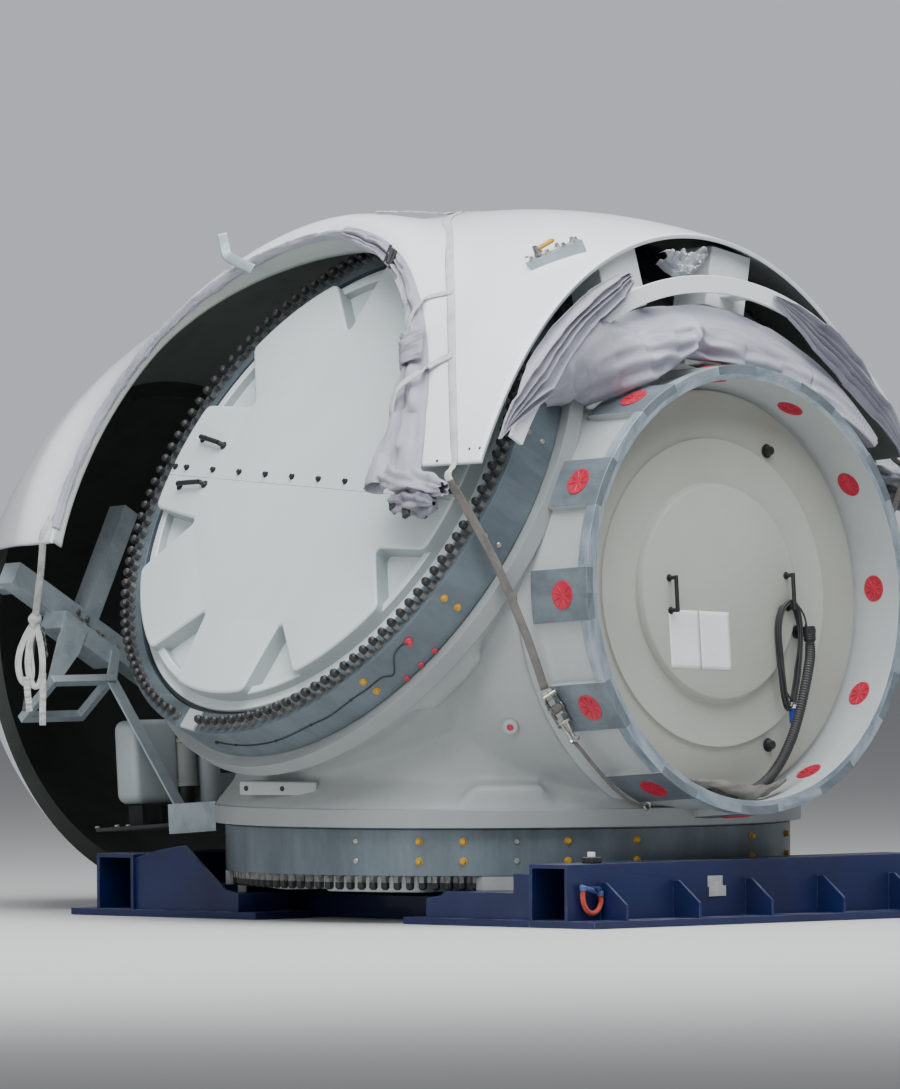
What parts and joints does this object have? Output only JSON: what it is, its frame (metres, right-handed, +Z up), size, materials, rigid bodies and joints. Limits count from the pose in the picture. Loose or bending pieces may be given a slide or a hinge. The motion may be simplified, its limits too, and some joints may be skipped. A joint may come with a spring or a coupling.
{
  "type": "wind turbine rotor hub",
  "caption": "Cast rotor hub with three blade bearings, closing plates, shaft collar and the top of its spinner, standing on one bearing on a steel transport frame.",
  "frame": {"origin": "on the ground under the hub's centre, on the underside of the transport frame's cross beam", "axes": "+Z up, +Y towards the nose of the spinner, the shaft collar faces -Y"},
  "size_m": [3.7626, 5.4925, 3.6375],
  "materials": {
    "bearing_steel": "blue grey coating with scratches and rubbed edges",
    "black_plastic": "satin",
    "block_plastic": "scuffed",
    "cabinet_paint": "satin white",
    "cable_rubber": "matt",
    "cast_paint": "satin light grey paint on a casting",
    "collar_paint": "white and blue grey paint, machined edges",
    "connector_plastic": "satin",
    "cover_fabric": "coated woven cloth, creased",
    "cover_paint": "matt beige grey paint",
    "fitting_steel": "worn zinc",
    "frame_paint": "dark blue paint with chips and dust",
    "galvanised_steel": "galvanised, dull",
    "packer_rubber": "matt",
    "plate_paint": "satin moulded glass fibre",
    "race_steel": "dark grey coating",
    "sling_webbing": "woven webbing",
    "spinner_gelcoat": "semi gloss gelcoat with dust",
    "webbing": "woven webbing"
  },
  "bodies": {
    "frame": {"bearing_inner_ring_bottom": "race_steel", "bearing_outer_ring_bottom": "bearing_steel", "bearing_outer_ring_left": "bearing_steel", "bearing_outer_ring_right": "bearing_steel", "closing_plate_bottom": "plate_paint", "cover_handle_left": "black_plastic", "cover_handle_right": "black_plastic", "equipment_cabinet": "cabinet_paint", "equipment_tray": "galvanised_steel", "frame_cross_beam": "frame_paint", "frame_front_girder": "frame_paint", "frame_rear_girder": "frame_paint", "frame_side_beam_left": "frame_paint", "frame_side_beam_right": "frame_paint", "frame_support_front_left": "frame_paint", "frame_support_front_right": "frame_paint", "frame_support_rear_left": "frame_paint", "frame_support_rear_right": "frame_paint", "front_tie_strap": "webbing", "girder_packer": "packer_rubber", "hose": "cable_rubber", "hose_gland": "cable_rubber", "hub_casting": "cast_paint", "lashing_ratchet": "fitting_steel", "lashing_strap": "webbing", "lashing_tail": "webbing", "lead_connector": "connector_plastic", "lead_hank": "cable_rubber", "lifting_plate": "galvanised_steel", "lifting_sling": "sling_webbing", "nose_frame": "galvanised_steel", "nose_step": "galvanised_steel", "opening_skirt_left": "cover_fabric", "opening_skirt_right": "cover_fabric", "pump_motor": "cabinet_paint", "pump_tank": "cabinet_paint", "rear_curtain_left": "cover_fabric", "rear_curtain_right": "cover_fabric", "rear_drape": "cover_fabric", "shaft_collar": "collar_paint", "shaft_cover": "cover_paint", "shell_bracket_left": "spinner_gelcoat", "shell_bracket_right": "spinner_gelcoat", "skirt_bundle_left": "cover_fabric", "skirt_bundle_right": "cover_fabric", "spinner_nose_cone": "spinner_gelcoat", "spinner_rear_arch": "spinner_gelcoat", "spinner_top_shell": "spinner_gelcoat", "support_block_front_left": "frame_paint", "support_block_front_right": "frame_paint", "support_block_rear_left": "block_plastic", "support_block_rear_right": "block_plastic"},
    "pitch_plate_left": {"bearing_inner_ring_left": "race_steel", "closing_plate_lower_left": "plate_paint", "closing_plate_upper_left": "plate_paint"},
    "pitch_plate_right": {"bearing_inner_ring_right": "race_steel", "closing_plate_lower_right": "plate_paint", "closing_plate_upper_right": "plate_paint"}
  },
  "joints": [
    {"name": "pitch_left", "type": "hinge", "parent": "frame", "child": "pitch_plate_left", "pos_m": [0, 0, 1.575], "axis": [-0.8642, 0.0972, 0.4937], "range_deg": [-5, 90]},
    {"name": "pitch_right", "type": "hinge", "parent": "frame", "child": "pitch_plate_right", "pos_m": [0, 0, 1.575], "axis": [0.8642, 0.0972, 0.4937], "range_deg": [-5, 90]}
  ]
}
